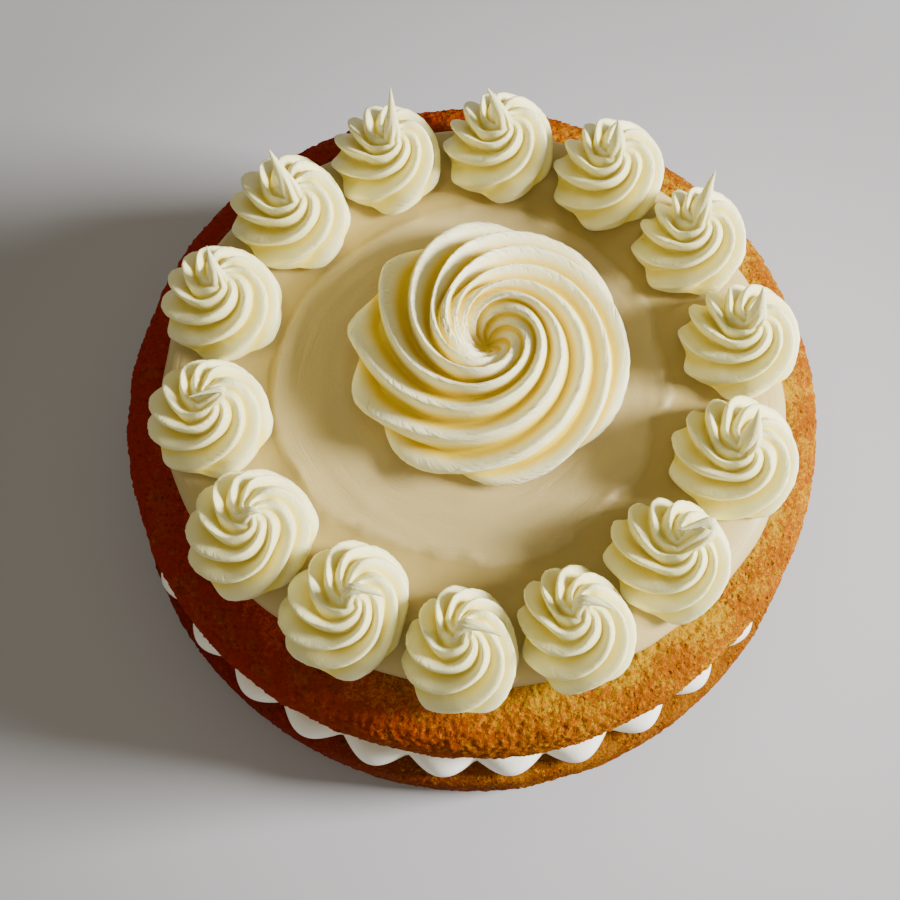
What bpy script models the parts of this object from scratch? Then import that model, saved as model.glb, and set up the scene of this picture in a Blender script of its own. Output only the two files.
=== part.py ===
"""A vanilla layer cake: two round sponges with a piped filling between them, a spread cream top,
fourteen piped swirls round its edge and one large piped swirl in the middle.

Sizes are in millimetres and are turned into metres when a mesh is made. The cake stands on
z = 0, with its axis on the origin, and -Y is its front."""

import math

import bmesh
import bpy
from mathutils import Vector, noise

MM = 0.001

# Clearance between two pieces that rest on each other
GAP = 0.3

# Levels, from the bottom up
LOWER_TOP = 30.0
FILLING_TOP = 43.0
SPONGE_TOP = 82.0
CREAM_BAND = 86.5
CREAM_DISC = 87.5

# Baked sides are uneven: each grain is (how fine it is, how strong it is), and the noise
# changes this much for each millimetre of height
CRAG_GRAINS = ((2.6, 1.2), (9.0, 0.9))
CRAG_RISE = 0.12
NOISE_STEP = 9.7
SPONGE_POINTS = 84

# Lower sponge: its widest radius, and each turned ring's inset and height
LOWER_RADIUS = 121.0
LOWER_RINGS = ((-3.6, 0.0), (-1.6, 2.5), (-0.5, 14.0), (0.0, 25.0), (-1.0, 28.6), (-3.0, LOWER_TOP))
LOWER_CRAG = 0.5
LOWER_SEED = 1

# Filling: piped lobes side by side, a little further out at the front
LOBES = 31
LOBE_POINTS = 4
FIRST_LOBE = math.radians(-93.1)
LOBE_VALLEY = 112.2
LOBE_DEPTH = 7.6
LOBE_FULLNESS = 0.8
LOBE_BULGE = ((-2.6, 0.0), (-0.2, 0.22), (0.4, 0.48), (-0.5, 0.78), (-3.6, 1.0))
LOBE_FRONT = 0.7
LOBE_UNEVEN = 0.9
LOBE_GRAIN = 5.0
LOBE_SEED = 4

# Upper sponge: it widens to its rim, then domes over to the flat top under the cream
RIM_RADIUS = 115.0
SHOULDER_RADIUS = 106.0
SHOULDER_TOP = 78.0
FLAT_RADIUS = 88.0
UPPER_RINGS = ((-5.5, 0.0), (-3.4, 3.0), (-1.6, 13.0), (0.0, 23.5), (-0.8, 28.4), (-4.0, 32.2))
UPPER_CRAG = 0.8
UPPER_SEED = 2

# Cream top: an uneven edge that reaches furthest at both sides, a low outer band and a raised
# disc left by the spatula
CREAM_EDGE = 99.8
CREAM_REACH = 2.8
CREAM_REACH_TURN = math.radians(-12.0)
CREAM_WAVE = 1.2
CREAM_GRAINS = (1.6, 5.0)
CREAM_SEED = 6
CREAM_POINTS = 72
CREAM_LIP = 1.2
CREAM_ROUNDING = 3.4
DISC_RADIUS = 60.0
DISC_WAVE = 1.6
DISC_RAMP = 1.8

# Flutes of the piping tip, and the side where a swirl's ridges run along its edge
FLUTES = 8
FLUTE_WIDTH = 1.15
OPEN_SIDE = math.radians(5.0)
OPEN_SIDE_DEPTH = 0.3
LOBE_SPREAD = math.radians(20.0)
FIRST_RIDGE = math.radians(15.0)

# Swirls round the edge: turn round the cake in degrees, distance from its axis, diameter,
# and the peak's rise and its drift to the right and to the back
SWIRLS = (
    (112.2, 85.3, 37.7, 13.5, 3.4, 5.0),
    (137.3, 84.8, 41.1, 12.5, -2.4, 3.6),
    (163.8, 85.5, 39.8, 8.0, -2.0, 1.6),
    (190.9, 84.3, 39.2, 3.6, -7.5, -0.6),
    (219.1, 84.8, 41.7, 3.4, 1.6, -1.0),
    (244.7, 83.6, 42.7, 3.0, 8.0, 0.4),
    (269.5, 87.2, 39.0, 3.0, 4.6, 0.6),
    (292.5, 85.8, 38.6, 3.2, 7.0, 0.8),
    (316.8, 83.4, 39.3, 3.4, 7.4, 1.4),
    (343.6, 85.6, 40.3, 6.0, 4.0, 2.6),
    (10.8, 86.7, 38.4, 5.4, 1.0, 3.0),
    (36.2, 86.9, 37.8, 12.0, 2.4, 6.2),
    (60.1, 87.3, 38.9, 8.0, -1.2, 2.2),
    (85.7, 85.5, 37.8, 11.5, -4.2, 1.6),
)
SWIRL_POINTS = 24
SWIRL_HEIGHT = 25.0
SWIRL_BASE = CREAM_BAND + GAP
SWIRL_DEPTH = 3.5
SWIRL_STEP = math.radians(17.0)
FULL_DEPTH_WIDTH = 0.5

# A swirl's outline: share of its radius, share of its height, and how far its ridges have turned
SWIRL_OUTLINE = (
    (0.84, 0.00, 0), (1.00, 0.12, 18), (0.985, 0.28, 42), (0.89, 0.45, 70),
    (0.73, 0.61, 100), (0.54, 0.76, 130), (0.36, 0.89, 160), (0.20, 1.00, 190),
)
PEAK_OUTLINE = ((0.11, 0.30, 205), (0.055, 0.66, 215), (0.0, 1.0, 220))

# A swirl's slices sway round its middle from the base to the peak
SWIRL_SWAY = 2.6
SWAY_MIDDLE = 0.63
SWAY_START = math.radians(225.0)
SWAY_TURN = math.radians(90.0)

# Room that a swirl gives up where it presses on its neighbour
SQUEEZE = 2.4

# Large swirl in the middle, with a hollow down its centre
CENTRE_PLACE = (4.6, 10.0)
CENTRE_RADIUS = 45.6
CENTRE_BASE = CREAM_DISC + GAP
CENTRE_HEIGHT = 25.0
CENTRE_DEPTH = 4.4
CENTRE_OUTLINE = (
    (0.86, 0.00, 0), (0.97, 0.10, 8), (1.00, 0.24, 20), (0.96, 0.42, 36), (0.85, 0.60, 62),
    (0.70, 0.77, 102), (0.55, 0.90, 140), (0.42, 0.985, 180), (0.31, 1.00, 222),
    (0.22, 0.92, 262), (0.15, 0.76, 300), (0.095, 0.56, 335), (0.05, 0.44, 355), (0.0, 0.40, 360),
)
CENTRE_LEVELS = 25
CENTRE_POINTS = 32
LOWEST_LIFT = 0.4
OUTLINE_STEP = 0.01

CREAM_COLOUR = (0.86, 0.79, 0.58)
TOP_COLOUR = (0.78, 0.68, 0.47)
UPPER_COLOUR = (0.52, 0.22, 0.055)
LOWER_COLOUR = (0.40, 0.17, 0.06)
CRUMB_ROUGHNESS = 0.9
CREAM_ROUGHNESS = 0.5


def material(name, colour, roughness):
    """A plain surface of one colour, roughness and no metal."""
    finish = bpy.data.materials.new(name)
    finish.use_nodes = True
    shader = finish.node_tree.nodes["Principled BSDF"]
    shader.inputs["Base Color"].default_value = (*colour, 1.0)
    shader.inputs["Roughness"].default_value = roughness
    shader.inputs["Metallic"].default_value = 0.0
    return finish


def column(points, levels):
    """A closed column of even rings, one unit wide and one unit apart, for a shape to move."""
    form = bmesh.new()
    bmesh.ops.create_cone(
        form, cap_ends=True, segments=points, radius1=1.0, radius2=1.0, depth=levels - 1)
    bmesh.ops.translate(form, verts=form.verts, vec=(0.0, 0.0, (levels - 1) / 2))
    uprights = [edge for edge in form.edges if abs(edge.verts[0].co.z - edge.verts[1].co.z) > 0.5]
    bmesh.ops.subdivide_edges(form, edges=uprights, cuts=levels - 2, use_grid_fill=True)
    return form


def moulded(name, points, levels, place, finish):
    """An object whose rings are carried to place(turn, level), in millimetres."""
    form = column(points, levels)
    for point in form.verts:
        turn = math.atan2(point.co.y, point.co.x)
        point.co = Vector(place(turn, round(point.co.z))) * MM
    bmesh.ops.remove_doubles(form, verts=form.verts, dist=MM * 0.001)
    bmesh.ops.recalc_face_normals(form, faces=form.faces)
    mesh = bpy.data.meshes.new(name)
    form.to_mesh(mesh)
    form.free()
    mesh.shade_smooth()
    mesh.set_sharp_from_angle(angle=math.radians(50.0))
    mesh.materials.append(finish)
    piece = bpy.data.objects.new(name, mesh)
    bpy.context.scene.collection.objects.link(piece)


def between(low, high, share):
    return low + (high - low) * share


def cylinder_point(turn, radius, height):
    return (radius * math.cos(turn), radius * math.sin(turn), height)


def ring_noise(turn, height, grain, seed):
    """Smooth noise round the cake, from about -1 to 1, that closes on itself."""
    rise = height * CRAG_RISE + seed * NOISE_STEP
    return noise.noise(Vector((math.cos(turn) * grain, math.sin(turn) * grain, rise)))


def crag(turn, height, seed):
    """Coarse and fine unevenness of a baked side."""
    return sum(strength * ring_noise(turn, height, grain, seed + order)
               for order, (grain, strength) in enumerate(CRAG_GRAINS))


def lower_sponge(finish):
    def place(turn, level):
        inset, height = LOWER_RINGS[level]
        rough = LOWER_CRAG * crag(turn, height, LOWER_SEED)
        return cylinder_point(turn, LOWER_RADIUS + inset + rough, height)
    moulded("lower_sponge", SPONGE_POINTS, len(LOWER_RINGS), place, finish)


def filling(finish):
    """Rounded lobes side by side, each with a flat tip between two flanks."""
    points = LOBES * LOBE_POINTS
    half_step = math.pi / points

    def place(turn, level):
        inset, share = LOBE_BULGE[level]
        turn += FIRST_LOBE + half_step
        lobe = (0.5 + 0.5 * math.cos(LOBES * (turn - FIRST_LOBE))) ** LOBE_FULLNESS
        uneven = LOBE_UNEVEN * ring_noise(turn, 0.0, LOBE_GRAIN, LOBE_SEED)
        front = -LOBE_FRONT * math.sin(turn)
        radius = LOBE_VALLEY + inset + uneven + front + LOBE_DEPTH * lobe
        return cylinder_point(turn, radius, between(LOWER_TOP + GAP, FILLING_TOP, share))
    moulded("filling", points, len(LOBE_BULGE), place, finish)


def upper_sponge(finish):
    """The last two rings make the straight shoulder that the cream lies on."""
    rings = [(RIM_RADIUS + inset, FILLING_TOP + GAP + rise, 1.0) for inset, rise in UPPER_RINGS]
    rings.append((SHOULDER_RADIUS, SHOULDER_TOP, 0.0))
    rings.append((FLAT_RADIUS, SPONGE_TOP, 0.0))

    def place(turn, level):
        radius, height, rough = rings[level]
        radius += rough * UPPER_CRAG * crag(turn, height, UPPER_SEED)
        return cylinder_point(turn, radius, height)
    moulded("upper_sponge", SPONGE_POINTS, len(rings), place, finish)


def shoulder_height(radius):
    """Height of the upper sponge's straight shoulder at a radius."""
    share = (radius - FLAT_RADIUS) / (SHOULDER_RADIUS - FLAT_RADIUS)
    return between(SPONGE_TOP, SHOULDER_TOP, share)


def top_cream(finish):
    """From the flat underside out over the shoulder, up the rounded edge and in to the disc."""
    coarse, fine = CREAM_GRAINS

    def place(turn, level):
        edge = CREAM_EDGE + CREAM_REACH * math.cos(2 * (turn - CREAM_REACH_TURN))
        edge += CREAM_WAVE * ring_noise(turn, 0.0, coarse, CREAM_SEED)
        edge += CREAM_WAVE * ring_noise(turn, 0.0, fine, CREAM_SEED + 1)
        step = DISC_RADIUS + DISC_WAVE * ring_noise(turn, 0.0, coarse, CREAM_SEED + 2)
        resting = shoulder_height(edge) + GAP
        rings = (
            (FLAT_RADIUS, SPONGE_TOP + GAP),
            (edge - CREAM_LIP, shoulder_height(edge - CREAM_LIP) + GAP),
            (edge, resting + CREAM_LIP),
            (edge - CREAM_LIP / 2, between(resting, CREAM_BAND, 0.62)),
            (edge - CREAM_ROUNDING, CREAM_BAND),
            (step, CREAM_BAND),
            (step - DISC_RAMP, CREAM_DISC),
        )
        return cylinder_point(turn, *rings[level])
    moulded("top_cream", CREAM_POINTS, 7, place, finish)


def read_outline(outline, share):
    """The outline's values at a share of its length, on a smooth curve through its points."""
    last = len(outline) - 1
    step = min(int(share * last), last - 1)
    along = share * last - step
    before = outline[max(step - 1, 0)]
    start = outline[step]
    end = outline[step + 1]
    after = outline[min(step + 2, last)]
    values = []
    for a, b, c, d in zip(before, start, end, after):
        bend = 2 * a - 5 * b + 4 * c - d
        twist = 3 * b - 3 * c + d - a
        values.append(b + 0.5 * ((c - a) * along + bend * along ** 2 + twist * along ** 3))
    return values


def outline_normal(outline, share, radius, height):
    """The outward direction of a turned outline at a share of its length."""
    near = read_outline(outline, max(share - OUTLINE_STEP, 0.0))
    far = read_outline(outline, min(share + OUTLINE_STEP, 1.0))
    out = (far[1] - near[1]) * height
    up = (near[0] - far[0]) * radius
    length = math.hypot(out, up)
    return out / length, up / length


def fluted_ring(turn, ridge, radius, normal, depth, spread):
    """A point of a fluted ring, cut in along the normal between its ridges. The ridges crowd
    on one side, and on the open side they run along the edge."""
    heading = turn + ridge
    heading += spread * math.sin(heading - OPEN_SIDE)
    flute = (0.5 + 0.5 * math.cos(FLUTES * turn)) ** FLUTE_WIDTH
    cut = depth * (1.0 - flute) * (1.0 - OPEN_SIDE_DEPTH * math.cos(heading - OPEN_SIDE))
    out = radius - normal[0] * cut
    return out * math.cos(heading), out * math.sin(heading), -normal[1] * cut


def squeezed(number, x, y):
    """Carries a point back from the upright planes half way to the two neighbouring swirls."""
    for step in (-1, 1):
        own = math.radians(SWIRLS[number][0])
        other = math.radians(SWIRLS[(number + step) % len(SWIRLS)][0])
        apart = math.remainder(other - own, math.tau)
        plane = own + apart / 2
        side = math.copysign(1.0, apart)
        across = Vector((-math.sin(plane), math.cos(plane))) * side
        room = -across.dot((x, y)) - GAP / 2
        if room < SQUEEZE:
            kept = SQUEEZE * math.exp((room - SQUEEZE) / SQUEEZE)
            x -= (kept - room) * across.x
            y -= (kept - room) * across.y
    return x, y


def edge_swirl(number, finish):
    """A small swirl that narrows to a peak, squeezed where it meets its neighbours."""
    turn_round, distance, diameter, rise, right, back = SWIRLS[number]
    middle = cylinder_point(math.radians(turn_round), distance, SWIRL_BASE)
    radius = diameter / 2
    body = len(SWIRL_OUTLINE)
    first = FIRST_RIDGE + SWIRL_STEP * number

    def place(turn, level):
        if level < body:
            width, height, ridge = SWIRL_OUTLINE[level]
            lift = height * SWIRL_HEIGHT
            normal = outline_normal(SWIRL_OUTLINE, level / (body - 1), radius, SWIRL_HEIGHT)
            drift = 0.0
        else:
            width, drift, ridge = PEAK_OUTLINE[level - body]
            lift = SWIRL_HEIGHT + drift * rise
            normal = (1.0, 0.0)
        low = max(0.0, 1.0 - lift / SWIRL_HEIGHT)
        depth = SWIRL_DEPTH * min(1.0, width / FULL_DEPTH_WIDTH)
        heading = math.radians(ridge) + first
        x, y, dip = fluted_ring(turn, heading, width * radius, normal, depth, low * LOBE_SPREAD)
        lean = SWAY_START + SWAY_TURN * (1.0 - low)
        sway = SWIRL_SWAY * (low - SWAY_MIDDLE)
        x += middle[0] + sway * math.cos(lean) + drift * right
        y += middle[1] + sway * math.sin(lean) + drift * back
        if level == 0:
            dip = 0.0
        return *squeezed(number, x, y), middle[2] + lift + dip
    moulded("rosette_%02d" % (number + 1), SWIRL_POINTS, body + len(PEAK_OUTLINE), place, finish)


def centre_swirl(finish):
    """A wide swirl whose ridges run in over the crest and down into the hollow."""
    def place(turn, level):
        share = level / (CENTRE_LEVELS - 1)
        width, height, ridge = read_outline(CENTRE_OUTLINE, share)
        normal = outline_normal(CENTRE_OUTLINE, share, CENTRE_RADIUS, CENTRE_HEIGHT)
        depth = CENTRE_DEPTH * min(1.0, width / FULL_DEPTH_WIDTH)
        heading = math.radians(ridge) + FIRST_RIDGE
        spread = LOBE_SPREAD * max(0.0, 1.0 - 2.0 * share)
        x, y, dip = fluted_ring(turn, heading, width * CENTRE_RADIUS, normal, depth, spread)
        lift = 0.0 if level == 0 else max(height * CENTRE_HEIGHT + dip, LOWEST_LIFT)
        return CENTRE_PLACE[0] + x, CENTRE_PLACE[1] + y, CENTRE_BASE + lift
    moulded("centre_rosette", CENTRE_POINTS, CENTRE_LEVELS, place, finish)


def build():
    for piece in list(bpy.data.objects):
        bpy.data.objects.remove(piece)
    lower_sponge(material("lower_crumb", LOWER_COLOUR, CRUMB_ROUGHNESS))
    filling(material("filling_cream", CREAM_COLOUR, CREAM_ROUGHNESS))
    upper_sponge(material("upper_crumb", UPPER_COLOUR, CRUMB_ROUGHNESS))
    top_cream(material("spread_cream", TOP_COLOUR, CREAM_ROUGHNESS))
    piped = material("piped_cream", CREAM_COLOUR, CREAM_ROUGHNESS)
    for number in range(len(SWIRLS)):
        edge_swirl(number, piped)
    centre_swirl(piped)


build()
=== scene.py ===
"""A vanilla layer cake, dressed for the photograph's view.

Lengths are in millimetres and are turned into metres when a mesh is made. The cake's axis is on
the origin, z = 0 is the surface that it stands on, and -Y is its front."""

import math

import bmesh
import bpy
from mathutils import Euler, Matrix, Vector, noise


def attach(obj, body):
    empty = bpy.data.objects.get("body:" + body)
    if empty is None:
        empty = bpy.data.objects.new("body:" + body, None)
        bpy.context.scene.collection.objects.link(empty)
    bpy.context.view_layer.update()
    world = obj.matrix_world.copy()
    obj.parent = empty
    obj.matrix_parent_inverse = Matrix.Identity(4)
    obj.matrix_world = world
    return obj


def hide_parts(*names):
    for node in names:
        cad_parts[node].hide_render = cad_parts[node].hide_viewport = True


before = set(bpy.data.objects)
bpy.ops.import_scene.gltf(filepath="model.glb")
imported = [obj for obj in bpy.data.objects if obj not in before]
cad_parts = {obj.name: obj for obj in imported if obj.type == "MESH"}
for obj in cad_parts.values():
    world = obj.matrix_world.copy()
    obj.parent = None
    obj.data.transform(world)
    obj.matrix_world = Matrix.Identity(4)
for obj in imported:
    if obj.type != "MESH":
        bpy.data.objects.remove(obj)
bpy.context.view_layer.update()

MM = 0.001
BODY = "root"

# Levels, from the bottom up, and the clearance between two pieces that rest on each other
GAP = 0.3
LOWER_TOP = 30.0
FILLING_TOP = 43.0
SPONGE_TOP = 82.0
CREAM_BAND = 86.5
CREAM_DISC = 87.5

# Unevenness of baked sides: (how fine it is, how strong it is), how fast it changes with height,
# and how far apart two seeds lie in the noise
CRAG_GRAINS = ((2.6, 1.2), (9.0, 0.9))
CRAG_RISE = 0.12
NOISE_STEP = 9.7
LOWER_SEED = 1
UPPER_SEED = 2
LOBE_SEED = 4
CREAM_SEED = 6

# Filling lobes: how many, where the first is, the radius at their valleys, how far they stand
# out and how full they are, their unevenness, and what those on the right fall short by
LOBES = 31
FIRST_LOBE = math.radians(-93.1)
LOBE_VALLEY = 112.3
LOBE_DEPTH = 6.2
LOBE_FULLNESS = 1.1
LOBE_UNEVEN = 0.9
LOBE_GRAIN = 5.0
LOBE_RIGHT = 1.4

# Straight shoulder of the upper sponge, under the cream
SHOULDER_RADIUS = 106.0
SHOULDER_TOP = 78.0
FLAT_RADIUS = 88.0

# Cream top: its mean edge, how much further it reaches to two sides, and its waves
CREAM_EDGE = 99.8
CREAM_REACH = 2.8
CREAM_REACH_TURN = math.radians(-12.0)
CREAM_WAVE = 1.2
CREAM_GRAINS = (1.6, 5.0)

# On the left front the cream's edge is drawn in, over a span either side of a turn
DRAWN_IN = math.radians(238.0)
DRAWN_IN_DEPTH = 2.2
DRAWN_IN_SPAN = 0.95

# Draped edge, by distance in from its widest point: where its underside bends, how high the
# widest point lies over the shoulder, the bulge above it, and where the flat band starts
UNDER_IN = 1.6
WIDEST_UP = 1.1
BULGE_IN, BULGE_SHARE = 0.5, 0.62
BAND_IN = 3.6

# Step up to the raised disc: its foot lies outside the disc's edge, its head and its flat inside
STEP_FOOT = 0.8
STEP_HEAD, STEP_RIM = 2.6, 0.1
STEP_FLAT = 8.0

# Ragged rim of the disc: (how fine it is, how strong it is), and the lip on the step's head
DISC_GRAINS = ((11.0, 0.55), (24.0, 0.4))
DISC_SEED = 21
LIP_WIDTH = 1.5
LIP_HEIGHTS = (0.05, 0.9)
LIP_GRAIN = 9.0
LIP_SEED = 25

# Arcs that the spatula left in the cream top, and a broad swell, which fade out at its edge
ARC_GRAIN = 2.4
ARC_RISE = 0.30
ARC_HEIGHT = 0.34
TOP_SWELL_GRAIN = 0.045
TOP_SWELL_HEIGHT = 0.30
TOP_SWELL_SEED = 5.0
TOP_FADE = 14.0

# Edge of the raised disc that the spatula left: (turn in degrees, radius)
DISC_EDGE = (
    (0, 65.4), (9, 64.2), (17, 63.5), (27, 66.0), (35, 66.8), (41, 65.0), (60, 66.0), (90, 67.0),
    (115, 65.5), (128, 63.5), (153, 65.0), (186, 66.2), (197, 66.0), (211, 64.4), (226, 64.6),
    (235, 60.8), (245, 59.6), (256, 58.4), (267, 58.8), (277, 60.2), (288, 60.9), (299, 60.7),
    (310, 59.2), (321, 59.3), (334, 61.8), (345, 60.4), (351, 58.8), (356, 64.4),
)

# Piped swirls: on the open side the ridges are broad and round and the valleys less deep
FLUTES = 8
OPEN_SIDE = math.radians(5.0)
OPEN_SIDE_DEPTH = 0.36
FIRST_RIDGE = math.radians(15.0)

# Fullness of each ridge: how far apart ridges and swirls lie in the noise, from where, its gain
RIDGES_APART, SEEDS_APART = 3.7, 1.9
SWELL_SPOT = (0.5, 0.3, 0.7)
SWELL_GAIN = 1.6

# A ridge turns further before it reaches the top on this side, and each ridge leans over
LAG_SIDE = math.radians(12.0)
LEAN = 0.45

# Small swirls: turn round the cake in degrees, distance from its axis, diameter, the peak's foot
# (right, back), its tip and the bend on the way there (right, back, up), and its thickness
SWIRLS = (
    (112.2, 85.3, 37.7, (3.4, -1.3), (3.1, 7.9, 38.2), (3.6, 1.0, 30.0), 3.3),
    (137.3, 84.8, 41.1, (2.7, -2.0), (-4.1, 6.3, 36.5), (-1.4, 2.5, 31.2), 3.3),
    (163.8, 85.5, 39.8, (1.4, 0.4), (-1.0, 6.5, 34.5), (0.6, 1.5, 30.0), 3.0),
    (190.9, 84.3, 39.2, (2.4, -0.8), (-3.8, -1.7, 27.2), (14.2, 4.5, 29.0), 2.4),
    (219.1, 84.8, 41.7, (1.7, 0.6), (5.5, 0.5, 27.4), (1.4, 2.6, 27.5), 3.0),
    (244.7, 83.6, 42.7, (3.0, -0.8), (13.3, -1.2, 27.6), (1.2, 3.4, 29.8), 3.4),
    (269.5, 87.2, 39.0, (0.6, 1.6), (12.6, 0.0, 27.6), (-1.5, 6.0, 29.8), 3.4),
    (292.5, 85.8, 38.6, (0.8, 1.6), (10.0, 1.0, 27.6), (-1.5, 6.2, 29.8), 3.3),
    (316.8, 83.4, 39.3, (3.2, 0.0), (-0.6, 3.1, 27.0), (17.4, 9.3, 29.4), 4.6),
    (343.6, 85.6, 40.3, (0.8, -1.8), (2.4, 6.7, 34.0), (2.6, 1.5, 29.0), 4.2),
    (10.8, 86.7, 38.4, (1.4, -0.9), (2.3, 6.4, 34.0), (2.6, 1.2, 29.0), 4.0),
    (36.2, 86.9, 37.8, (0.9, -0.9), (3.6, 9.3, 36.5), (1.2, 4.5, 31.0), 3.5),
    (60.1, 87.3, 38.9, (0.6, -1.5), (0.1, 4.4, 34.0), (1.2, 1.5, 29.0), 3.6),
    (85.7, 85.5, 37.8, (1.4, -1.0), (-5.0, 4.9, 34.5), (-1.2, 1.5, 30.0), 3.2),
)
SWIRL_AROUND = 144
SWIRL_ALONG = 72
SWIRL_PEAK_STEPS = 18
SWIRL_HEIGHT = 25.0
SWIRL_BASE = CREAM_BAND + GAP
SWIRL_STEP = math.radians(17.0)

# Depth of its valleys: in full from this share of the radius outwards, and less at its foot
SWIRL_DEPTH = 5.6
SWIRL_FULL_DEPTH = 0.72
SWIRL_DEPTH_FADE = 1.5
SWIRL_FOOT_DEPTH, SWIRL_FOOT_START, SWIRL_FOOT_LENGTH = 0.32, 0.04, 0.36
SWIRL_ROUND, SWIRL_ROUND_OPEN = 0.3, 0.3

# Course of its ridges: their lag, and how much further apart they are on the spread side
SWIRL_LAG = math.radians(19.0)
SWIRL_LAG_START, SWIRL_LAG_LENGTH = 0.2, 0.5
SWIRL_CROWDING = 0.55
SWIRL_SPREAD = math.radians(24.0)
SPREAD_SIDE = math.radians(-60.0)
SPREAD_END = 0.85
SHIFT_START = 0.2

# Unevenness of its ridges: in their course, in their fullness, and fine along them
SWIRL_WOBBLE = math.radians(6.0)
WOBBLE_GRAIN, WOBBLE_SEED = 1.3, 2.1
SWIRL_SWELL = 0.45
SWIRL_GRAIN, SWIRL_GRAIN_RISE, SWIRL_GRAIN_SEED = 9.0, 0.70, 7.0
SWIRL_GRAIN_HEIGHTS = (0.08, 0.18)

# A small swirl's outline: share of its radius, share of its height, and its ridges' turn
SWIRL_OUTLINE = (
    (0.86, 0.00, 0), (0.99, 0.08, 4), (1.01, 0.18, 9), (0.99, 0.30, 17), (0.97, 0.42, 28),
    (0.92, 0.54, 42), (0.83, 0.66, 58), (0.70, 0.78, 76), (0.54, 0.865, 95), (0.38, 0.905, 116),
    (0.25, 0.925, 139), (0.15, 0.935, 160),
)

# Peak: its turn and the depth of its valleys, the shares of its length over which it tilts,
# narrows and turns smooth, and how straight its taper is
PEAK_TURN = math.radians(50.0)
PEAK_FADE = 0.35
PEAK_TILT = 0.35
PEAK_NECK = 0.3
PEAK_SMOOTH = 0.5
PEAK_STRAIGHT = 0.88

# A peak that is folded over lies lower than this, and keeps grooves unless its tip is broad
FOLDED_BELOW = 30.0
BROAD_TIP = 4.0
PEAK_GROOVES = 0.5

# The crown: the upper ends of the ridges stand up round a dip on the side away from the window.
# Lift and dip are (height, the share of the radius where it is, its width there)
CROWN_SIDE = math.radians(140.0)
CROWN_SHARPNESS = 1.5
CROWN_LIFT = (1.6, 0.66, 0.16)
CROWN_DIP = (2.0, 0.36, 0.11)

# Where two small swirls meet: how softly they give way, and how wide the pressed place is
SQUEEZE = 0.5
CONTACT_WIDTH = 0.7
CONTACT_FULLNESS = 1.015

# Large swirl in the middle, with a hollow down its centre
CENTRE_PLACE = (4.6, 10.0)
CENTRE_RADIUS = 45.6
CENTRE_BASE = CREAM_DISC + GAP
CENTRE_HEIGHT = 25.0
CENTRE_DEPTH = 6.6
CENTRE_FULL_DEPTH = 0.45
CENTRE_FOOT_DEPTH, CENTRE_FOOT_LENGTH = 0.45, 0.22
CENTRE_ROUND, CENTRE_ROUND_OPEN = -0.12, 0.25
CENTRE_OUTLINE = (
    (0.86, 0.00, 0), (0.97, 0.10, 8), (1.00, 0.24, 20), (0.96, 0.42, 35), (0.85, 0.60, 59),
    (0.70, 0.77, 93), (0.55, 0.90, 128), (0.42, 0.985, 166), (0.31, 1.00, 208),
    (0.22, 0.92, 250), (0.15, 0.76, 290), (0.095, 0.56, 325), (0.05, 0.44, 345), (0.0, 0.40, 350),
)
CENTRE_AROUND = 256
CENTRE_ALONG = 200
LOWEST_LIFT = 0.4
OUTLINE_STEP = 0.01

# Course of its ridges: the lag sets in and dies away, and the spread ends at half their length
CENTRE_LAG = math.radians(19.0)
CENTRE_LAG_START, CENTRE_LAG_LENGTH = 0.13, 0.3
CENTRE_LAG_END, CENTRE_LAG_FADE = 0.8, 0.32
CENTRE_SPREAD = math.radians(20.0)

# Unevenness of its ridges, as on the small swirls, and rougher where the knife passed
CENTRE_WOBBLE = math.radians(4.0)
CENTRE_WOBBLE_GRAIN, CENTRE_WOBBLE_SEED = 1.6, 40.0
CENTRE_SWELL, CENTRE_SWELL_SEED = 0.5, 31
CENTRE_GRAIN, CENTRE_GRAIN_RISE = 14.0, 0.62
CENTRE_GRAIN_HEIGHTS = (0.10, 0.30, 0.25)

# Where the knife smeared its ridges, beside the hollow: round it, and by share of the radius
SMEAR_SIDE, SMEAR_SPAN = math.radians(168.0), 0.95
SMEAR_PLACE, SMEAR_WIDTH = 0.31, 0.14
SMEAR_FILL = 0.85

# The hollow takes the valleys' painted shade throughout, within this share of the radius
HOLLOW_MASK, HOLLOW_REACH = 0.85, 0.18


# Shapes

WELD = 0.001


def rolled(name, around, along, masks, place, finish):
    """A closed skin: a unit grid of quads rolled into the form place(turn, step), which gives a
    point in millimetres and a value for each of the masks."""
    form = bmesh.new()
    form.loops.layers.uv.new("flow")
    layers = [form.verts.layers.float.new(mask) for mask in masks]
    bmesh.ops.create_grid(form, x_segments=around, y_segments=along, size=0.5, calc_uvs=True)
    for point in form.verts:
        turn = (point.co.x + 0.5) * math.tau
        step = round((point.co.y + 0.5) * along)
        x, y, z, *values = place(turn, step)
        point.co = Vector((x, y, z)) * MM
        for layer, value in zip(layers, values):
            point[layer] = value
    bmesh.ops.remove_doubles(form, verts=form.verts, dist=MM * WELD)
    bmesh.ops.recalc_face_normals(form, faces=form.faces)
    mesh = bpy.data.meshes.new(name)
    form.to_mesh(mesh)
    form.free()
    mesh.shade_smooth()
    mesh.materials.append(finish)
    piece = bpy.data.objects.new(name, mesh)
    bpy.context.scene.collection.objects.link(piece)
    return piece


def stands_for(piece, node):
    """The piece joins the cake's body, and the CAD node that it stands for is hidden."""
    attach(piece, BODY)
    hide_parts(node)


def between(low, high, share):
    return low + (high - low) * share


def eased(share):
    """A smooth step from 0 to 1."""
    share = min(max(share, 0.0), 1.0)
    return share * share * (3.0 - 2.0 * share)


def hump(distance, width):
    """1 at no distance, falling smoothly to nothing a few widths away."""
    return math.exp(-(distance / width) ** 2)


def round_noise(turn, grain, rise):
    """Smooth noise from about -1 to 1 that closes on itself after a full turn."""
    return noise.noise(Vector((math.cos(turn) * grain, math.sin(turn) * grain, rise)))


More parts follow.
